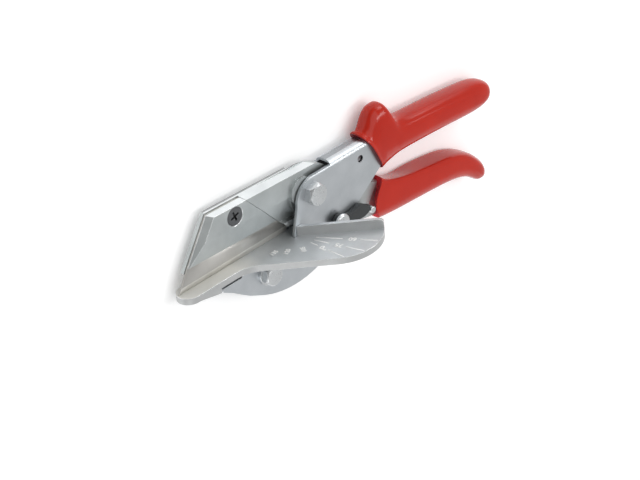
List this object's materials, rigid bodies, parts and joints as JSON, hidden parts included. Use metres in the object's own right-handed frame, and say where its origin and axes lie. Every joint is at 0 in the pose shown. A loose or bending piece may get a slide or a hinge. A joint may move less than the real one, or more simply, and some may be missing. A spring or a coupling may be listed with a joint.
{
  "type": "mitre shears",
  "caption": "Hand-held anvil mitre shears with a folded frame, hinged blade lever, mitre table with angled fence, moulded grips and a locking catch.",
  "frame": {"origin": "middle of the bounding box in X and Y, at the plane of the two nuts that the closed shears lie on", "axes": "+X from the blade tip to the grips, +Y square to the mitre table on the blade's side, +Z to the fence side, up as it lies"},
  "size_m": [0.2222, 0.0782, 0.051],
  "materials": {
    "plated_steel": "bright zinc plate",
    "cast_metal": "bead-blasted, satin",
    "lever_metal": "satin plate",
    "blade_steel": "ground",
    "dark_steel": "blackened",
    "bronze": "turned",
    "red_grip": "soft gloss",
    "black_plastic": "moulded",
    "spring_steel": "drawn wire"
  },
  "bodies": {
    "frame": {"body_frame": "plated_steel", "upper_grip": "red_grip", "mitre_table": "cast_metal", "table_bolt": "plated_steel", "table_bolt_washer": "plated_steel", "table_bolt_nut": "plated_steel", "pivot_bolt": "plated_steel", "pivot_nut": "plated_steel", "thrust_washers": "plated_steel", "catch_screw": "plated_steel", "catch_bush": "plated_steel", "return_spring": "spring_steel"},
    "lever": {"blade_lever": "lever_metal", "lower_grip": "red_grip", "blade": "blade_steel", "clamp_plate": "lever_metal", "clamp_screw": "dark_steel", "blade_dowels": "dark_steel", "pivot_bush": "bronze", "catch_pin": "plated_steel"},
    "catch": {"catch": "black_plastic"}
  },
  "joints": [
    {"name": "jaw", "type": "hinge", "parent": "frame", "child": "lever", "pos_m": [-0.02565, 0.0141, 0.0087], "axis": [0, 0, -1], "range_deg": [0, 30], "deforming": ["return_spring"]},
    {"name": "catch_turn", "type": "hinge", "parent": "frame", "child": "catch", "pos_m": [-0.01175, -0.0086, 0.0157], "axis": [0, 0, -1], "range_deg": [0, 6]}
  ]
}
